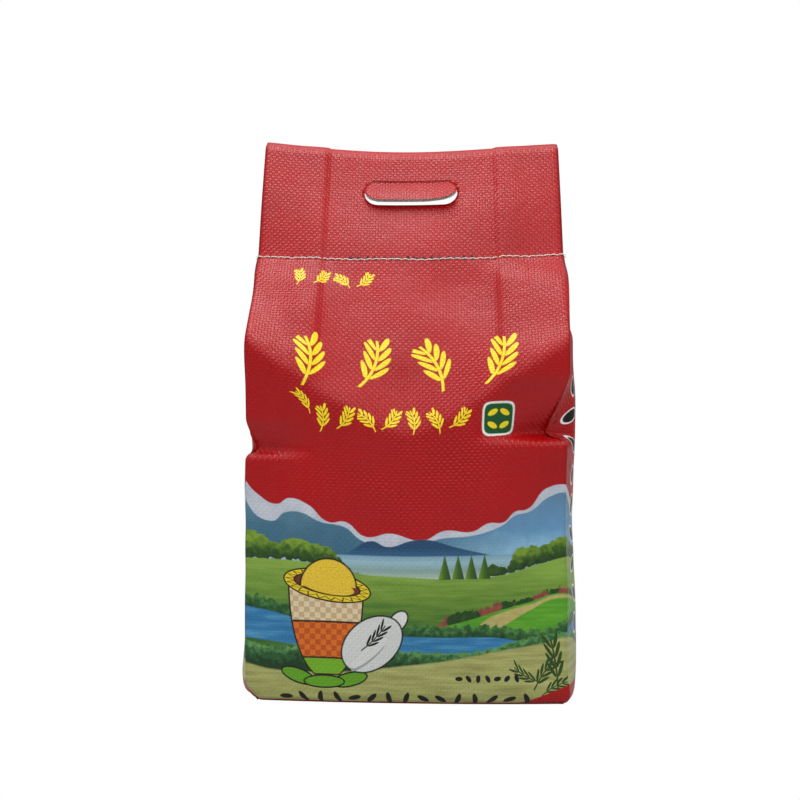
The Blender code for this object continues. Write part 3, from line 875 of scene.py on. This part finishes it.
def still_life(tree, colour, place, up):
    """A basket heaped with grain and a small white sack leaning on it, outlined in black."""
    fine = add(tree, "ShaderNodeTexNoise", {"Vector": place, "Scale": 0.9, "Detail": 1.0})
    black, yellow, white = "#16120E", "#EBD22F", "#DFE0DC"
    rim = 1.2

    def grown(size):
        return size[0] + rim, size[1] + rim

    def outlined(colour, ink, at, size, turn=0.0):
        colour = paint(tree, colour, black, oval(tree, place, at, grown(size), turn))
        return paint(tree, colour, ink, oval(tree, place, at, size, turn))

    leaves = (((-84, 22), (13, 4.5), -0.35), ((-44, 20), (13, 4.5), 0.25), ((-64, 18), (15, 4), 0.0))
    for at, size, turn in leaves:
        colour = outlined(colour, "#6CA628", at, size, turn)

    # The basket's side: everything in a tall oval under its rim, woven in pale and in orange cane.
    tilt = -0.16
    rim_at, rim_size = (-61, 92), (33, 11)
    side_at, side_size = (-62, 88), (28, 68)
    under = below(tree, up, 92.0)
    foot = below(tree, 24.0, up)
    colour = paint(tree, colour, black, both(tree, both(tree, under, below(tree, 22.8, up)),
                                             oval(tree, place, side_at, grown(side_size))))
    inside = both(tree, both(tree, under, foot), oval(tree, place, side_at, side_size))
    canes = {"Vector": place, "Scale": 0.24}
    pale = add(tree, "ShaderNodeTexChecker", {**canes, "Color1": srgb("#E4D3B2"), "Color2": srgb("#CDB58C")})
    warm = add(tree, "ShaderNodeTexChecker", {**canes, "Color1": srgb("#DD7A26"), "Color2": srgb("#C25F1C")})
    colour = paint(tree, colour, paint(tree, pale, warm, below(tree, up, 64.0)), inside)
    for height in (64.0, 36.0):
        off = apart(tree, up, height)
        colour = paint(tree, colour, black, both(tree, inside, below(tree, off, 0.7)))
    green = both(tree, inside, below(tree, up, 35.4))
    colour = paint(tree, colour, "#7DB52E", green)

    # Its rim, a zigzag in black and yellow round a brown mouth, and the heap of grain in the mouth.
    colour = outlined(colour, yellow, rim_at, rim_size, tilt)
    local = placed(tree, place, rim_at, rim_size, tilt)
    split = add(tree, "ShaderNodeSeparateXYZ", {0: local}).node
    angle = add(tree, "ShaderNodeMath", {0: split.outputs[1], 1: split.outputs[0]}, operation="ARCTAN2")
    angle = add(tree, "ShaderNodeMath", {0: angle, 1: math.pi / 22}, operation="PINGPONG")
    reach = add(tree, "ShaderNodeVectorMath", {0: local}, out="Value", operation="LENGTH")
    zigzag = add(tree, "ShaderNodeMath", {0: angle, 1: -1.5, 2: 0.97}, operation="MULTIPLY_ADD")
    off = apart(tree, reach, zigzag)
    colour = paint(tree, colour, black, below(tree, off, 0.03, 0.02))
    mouth_at, mouth_size = (-61, 92.5), (25, 6.6)
    colour = outlined(colour, "#7A3A1B", mouth_at, mouth_size, tilt)
    heap_at, heap_size = (-60, 91), (21, 21)
    heaped = below(tree, 91.0, up)
    heaped = either(tree, heaped, oval(tree, place, (-60, 91), (20, 5.5), tilt))
    heap_edge = oval(tree, place, heap_at, grown(heap_size))
    colour = paint(tree, colour, black, both(tree, below(tree, 91.5, up), heap_edge))
    grain = blend_of(tree, fine, "#B98A1E", "#E8C93A", "#F2E27A")
    colour = paint(tree, colour, grain, both(tree, heaped, oval(tree, place, heap_at, heap_size)))

    # The white sack: a leaning oval body, a short neck and a shaded fold.
    colour = outlined(colour, white, (-7, 66), (9, 5.5), 0.9)
    body_at, body_size, lean = (-27, 48), (26, 18), 0.72
    colour = outlined(colour, blend_of(tree, fine, "#C4C8C8", "#E6E7E4"), body_at, body_size, lean)
    colour = paint(tree, colour, "#A9AEB0", oval(tree, place, (-30, 38), (17, 4), lean))
    colour = paint(tree, colour, "#DCDEDB", oval(tree, place, (-29, 41), (18, 4), lean))
    return colour


def printed_cloth():
    """Polypropylene tapes woven flat, with a printed film laminated on: a semi-gloss skin through which the
    weave still shows."""
    made, tree, shader = new_material("laminated_woven_polypropylene")
    flat = add(tree, "ShaderNodeUVMap", uv_map="print")
    metres = add(tree, "ShaderNodeSeparateXYZ", {0: flat}).node
    round_about = add(tree, "ShaderNodeMath", {0: metres.outputs[0], 1: PANEL + GUSSET}, operation="MODULO")
    along = add(tree, "ShaderNodeMath", {0: round_about, 1: PANEL + GUSSET}, operation="DIVIDE")
    x = add(tree, "ShaderNodeMath", {0: round_about, 1: 1000.0, 2: -125.0}, operation="MULTIPLY_ADD")
    up = add(tree, "ShaderNodeMath", {0: metres.outputs[1], 1: 1000.0}, operation="MULTIPLY")
    place = add(tree, "ShaderNodeCombineXYZ", {0: x, 1: up})
    panel = below(tree, x, 125.0)

    mottle = add(tree, "ShaderNodeTexNoise", {"Vector": place, "Scale": 0.02, "Detail": 3.0})
    red = blend_of(tree, mottle, "#A4020B", "#B0050F", "#BA0914")
    colour = landscape(tree, red, along, x, up, place)
    colour = still_life(tree, colour, place, up)
    ear = ear_of_grain()

    def ears(vector, bend):
        group = tree.nodes.new("ShaderNodeGroup")
        group.node_tree = ear
        tree.links.new(vector, group.inputs["Place"])
        group.inputs["Bend"].default_value = bend
        return group.outputs["Ink"]

    colour = paint(tree, colour, "#1B1A14", ears(placed(tree, place, (-25, 52), (6, 14), -0.75), 0.2))

    # Leafy sprigs at the lower right.
    for at, size, turn, bend in (
        ((116, 33), (9, 19), 0.1, 0.2),
        ((106, 25), (7, 15), -0.7, -0.2),
        ((93, 23), (6, 12), 1.05, -0.3),
        ((113, 15), (6, 12), -1.1, -0.3),
    ):
        colour = paint(tree, colour, "#35531D", ears(placed(tree, place, at, size, turn), bend))

    # The red margin, which comes further up at the lower right corner.
    corner = {"Value": x, "From Min": 88, "From Max": 124, "To Min": 2.5, "To Max": 16}
    colour = paint(tree, colour, red, below(tree, up, add(tree, "ShaderNodeMapRange", corner)))

    # Ink marks in rows, all plain ears and grains: first, pitch, count, middle height, size, and how much
    # they turn.
    yellow, dark = "#F3DE2A", "#1B1A14"
    rows = (
        ("ear", -75.0, 49.0, 4, 264.0, (16.0, 21.5), 0.45, yellow),
        ("ear", -64.0, 17.4, 7, 218.0, (7.0, 10.0), 0.8, yellow),
        ("ear", -88.0, 17.5, 4, 342.0, (6.4, 8.4), 0.9, yellow),
        ("grain", -94.0, 13.3, 15, 6.0, (5.0, 2.0), 1.4, dark),
        ("grain", 40.0, 7.5, 7, 22.0, (2.9, 1.7), 1.4, dark),
        ("grain", -48.0, 6.6, 16, 364.0, (2.6, 1.2), 1.4, "#3A0A0C"),
    )
    for shape, first, pitch, count, middle, size, swing, ink in rows:
        vector, number, past = in_row(tree, x, up, first, pitch, count, middle)
        local = turned(tree, vector, number, size, swing)
        reach = add(tree, "ShaderNodeVectorMath", {0: local}, out="Value", operation="LENGTH")
        if shape == "ear":
            mark = both(tree, ears(local, 0.35), below(tree, reach, 1.2, 0.05))
        else:
            mark = below(tree, reach, 1.0, 0.2)
        colour = paint(tree, colour, ink, both(tree, mark, both(tree, past, panel)))
    small_ear = ears(placed(tree, place, (-78, 231), (4.5, 10), 0.6), 0.5)
    colour = paint(tree, colour, yellow, both(tree, panel, small_ear))

    # A green seal with a white border and four yellow grains.
    seal = add(tree, "ShaderNodeVectorMath", {0: place, 1: (70.5, 218.0, 0)}, operation="SUBTRACT")
    square = add(tree, "ShaderNodeVectorMath", {0: seal}, operation="ABSOLUTE")
    square = add(tree, "ShaderNodeSeparateXYZ", {0: square}).node
    sides = [add(tree, "ShaderNodeMath", {0: s, 1: 5.0}, operation="POWER") for s in square.outputs[:2]]
    reach = add(tree, "ShaderNodeMath", {0: sides[0], 1: sides[1]}, operation="ADD")
    reach = add(tree, "ShaderNodeMath", {0: reach, 1: 0.2}, operation="POWER")
    colour = paint(tree, colour, "#E6EDE4", both(tree, panel, below(tree, reach, 13.0)))
    colour = paint(tree, colour, "#176034", both(tree, panel, below(tree, reach, 11.4)))
    for side, height, turn in ((-1, 1, 0.5), (1, 1, -0.5), (-1, -1, -0.5), (1, -1, 0.5)):
        grain = oval(tree, place, (70.5 + 4.8 * side, 218.0 + 4.8 * height), (4.2, 2.1), turn)
        colour = paint(tree, colour, yellow, both(tree, panel, grain))

    # A column of dark grains with white outlines down each gusset.
    vector, number, past = in_row(tree, up, x, 60.0, 23.0, 9, 146.0)
    local = turned(tree, vector, number, (7.0, 3.6), 0.9)
    reach = add(tree, "ShaderNodeVectorMath", {0: local}, out="Value", operation="LENGTH")
    colour = paint(tree, colour, "#F2F2EE", both(tree, past, below(tree, reach, 1.25, 0.1)))
    colour = paint(tree, colour, "#15130F", both(tree, past, below(tree, reach, 1.0, 0.1)))
    colour = add(tree, "ShaderNodeGamma", {"Color": colour, "Gamma": 1.15})
    tree.links.new(colour, shader.inputs["Base Color"])

    # The weave: tapes 2.35 mm wide, each crossing a small pillow that curves along the tape on top.
    tape = 2.35
    wander = add(tree, "ShaderNodeTexNoise", {"Vector": place, "Scale": 0.05, "Detail": 1.0}, out="Color")
    wander = add(tree, "ShaderNodeVectorMath", {0: wander, 1: (1.2, 1.2, 0)}, operation="MULTIPLY")
    threads = add(tree, "ShaderNodeVectorMath", {0: place, 1: wander}, operation="ADD")
    per_tape = (1 / tape, 1 / tape, 1)
    threads = add(tree, "ShaderNodeVectorMath", {0: threads, 1: per_tape}, operation="MULTIPLY")
    shifted = add(tree, "ShaderNodeVectorMath", {0: threads, 1: (0.0, 0.0, 0.5)}, operation="ADD")
    over = add(tree, "ShaderNodeTexChecker", {"Vector": shifted, "Scale": 1.0}, out="Fac")
    turn = add(tree, "ShaderNodeVectorMath", {0: threads, 1: (math.pi, math.pi, 0)}, operation="MULTIPLY")
    swell = add(tree, "ShaderNodeVectorMath", {0: turn}, operation="SINE")
    swell = add(tree, "ShaderNodeVectorMath", {0: swell}, operation="ABSOLUTE")
    swell = add(tree, "ShaderNodeSeparateXYZ", {0: swell}).node
    height = add(tree, "ShaderNodeMix", {0: over, 2: swell.outputs[0], 3: swell.outputs[1]})
    height = add(tree, "ShaderNodeMath", {0: height, 1: 0.6}, operation="POWER")
    crumple = add(tree, "ShaderNodeTexNoise", {"Vector": place, "Scale": 0.12, "Detail": 4.0})
    height = add(tree, "ShaderNodeMath", {0: crumple, 1: 1.6, 2: height}, operation="MULTIPLY_ADD")
    bump = add(tree, "ShaderNodeBump", {"Height": height, "Strength": 1.0, "Distance": 0.22 * MM})
    tree.links.new(bump, shader.inputs["Normal"])
    shader.inputs["Specular IOR Level"].default_value = 0.30
    rough = {"Value": crumple, "From Min": 0.3, "From Max": 0.7, "To Min": 0.28, "To Max": 0.40}
    rough = add(tree, "ShaderNodeMapRange", rough)
    tree.links.new(rough, shader.inputs["Roughness"])
    return made


def plain_weave():
    """The cloth's inside: unprinted off-white tapes, dull beside the film."""
    made, tree, shader = new_material("unprinted_woven_polypropylene")
    flat = add(tree, "ShaderNodeUVMap", uv_map="print")
    tapes = add(tree, "ShaderNodeTexChecker", {"Vector": flat, "Scale": 1000 / 2.35}, out="Fac")
    # The raised tapes are lighter and the sunk ones darker, following the bump: painted light and shade.
    colour = blend_of(tree, tapes, "#DAD6CE", "#EDEAE3")
    tree.links.new(colour, shader.inputs["Base Color"])
    shader.inputs["Roughness"].default_value = 0.55
    bump = add(tree, "ShaderNodeBump", {"Height": tapes, "Strength": 0.4, "Distance": 0.1 * MM})
    tree.links.new(bump, shader.inputs["Normal"])
    return made


def spun_thread():
    """Three-ply spun polyester: matt white, with twist too fine to model."""
    made, tree, shader = new_material("spun_polyester_thread")
    place = add(tree, "ShaderNodeTexCoord", out="Object")
    ply = {"Vector": place, "Scale": 900.0, "Distortion": 2.0}
    twist = add(tree, "ShaderNodeTexWave", ply, bands_direction="DIAGONAL")
    # The colour follows the twist's bump, lighter on the ridges and darker in the grooves: painted shade.
    tree.links.new(blend_of(tree, twist, "#CFCAC0", "#F2EFE9"), shader.inputs["Base Color"])
    shader.inputs["Roughness"].default_value = 0.85
    bump = add(tree, "ShaderNodeBump", {"Height": twist, "Strength": 0.5, "Distance": 0.08 * MM})
    tree.links.new(bump, shader.inputs["Normal"])
    return made


# ---------------------------------------------------------------- studio


def studio():
    bpy.context.scene.view_settings.view_transform = "Standard"
    mesh = bpy.data.meshes.new("floor")
    mesh.from_pydata([(-4, -4, 0), (4, -4, 0), (4, 4, 0), (-4, 4, 0)], [], [(0, 1, 2, 3)])
    floor = shown("floor", mesh)
    floor_material, tree, shader = new_material("white_paper_sweep")
    shader.inputs["Base Color"].default_value = srgb("#C8C8C8")
    shader.inputs["Roughness"].default_value = 0.9
    # Seen directly the paper is burnt out, as under a strong studio light.
    rays = tree.nodes.new("ShaderNodeLightPath").outputs["Is Camera Ray"]
    glow = add(tree, "ShaderNodeEmission", {"Color": (1, 1, 1, 1), "Strength": 1.0})
    seen = add(tree, "ShaderNodeMixShader", {0: rays, 1: shader.outputs[0], 2: glow})
    tree.links.new(seen, tree.nodes["Material Output"].inputs["Surface"])
    mesh.materials.append(floor_material)

    world = bpy.data.worlds.new("studio")
    world.use_nodes = True
    tree = world.node_tree
    rays = tree.nodes.new("ShaderNodeLightPath").outputs["Is Camera Ray"]
    toward = add(tree, "ShaderNodeTexCoord", out="Generated")
    height = add(tree, "ShaderNodeSeparateXYZ", {0: toward}, out="Z")
    room = add(tree, "ShaderNodeMapRange", {"Value": height, 1: 0.25, 2: 0.95, 3: 0.24, 4: 1.35})
    strength = add(tree, "ShaderNodeMix", {0: rays, 2: room, 3: 1.0}, data_type="FLOAT")
    background = tree.nodes["Background"]
    background.inputs["Color"].default_value = (1, 1, 1, 1)
    tree.links.new(strength, background.inputs["Strength"])
    bpy.context.scene.world = world
    for name, place, size, watts in (
        ("ceiling", (-0.1, -0.22, 1.5), 0.6, 9),
        ("window", (0.1, -1.5, 1.3), 0.8, 7),
    ):
        light = bpy.data.lights.new(name, "AREA")
        light.size = size
        light.energy = watts
        lamp = bpy.data.objects.new(name, light)
        lamp.location = place
        lamp.rotation_euler = (Vector((0, 0, 0.2)) - lamp.location).to_track_quat("-Z", "Y").to_euler()
        bpy.context.scene.collection.objects.link(lamp)


def camera():
    """Level, a little to the left of the sack's middle and turned a little past it."""
    turn = math.radians(2.5)
    distance, aside, height = 0.755, 0.008, 0.233
    data = bpy.data.cameras.new("camera")
    data.sensor_width = 36
    data.lens = 41.4
    made = bpy.data.objects.new("camera", data)
    made.location = (
        math.sin(turn) * distance - aside * math.cos(turn),
        SEAM_Y - math.cos(turn) * distance - aside * math.sin(turn),
        height,
    )
    made.rotation_euler = (math.radians(90), 0, turn)
    bpy.context.scene.collection.objects.link(made)
    bpy.context.scene.camera = made


def main():
    camera()
    studio()
    film, inside, thread = printed_cloth(), plain_weave(), spun_thread()
    cloth = sack_skin(film, inside)
    tongues = [tongue("tongue_front", -1, film, inside), tongue("tongue_back", 1, film, inside)]
    for piece in (cloth, *tongues):
        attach(piece, "root")
        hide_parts("sack")
    for piece, node in zip(closure_stitches(thread), ("closing_thread_front", "closing_thread_back")):
        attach(piece, "root")
        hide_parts(node)


main()
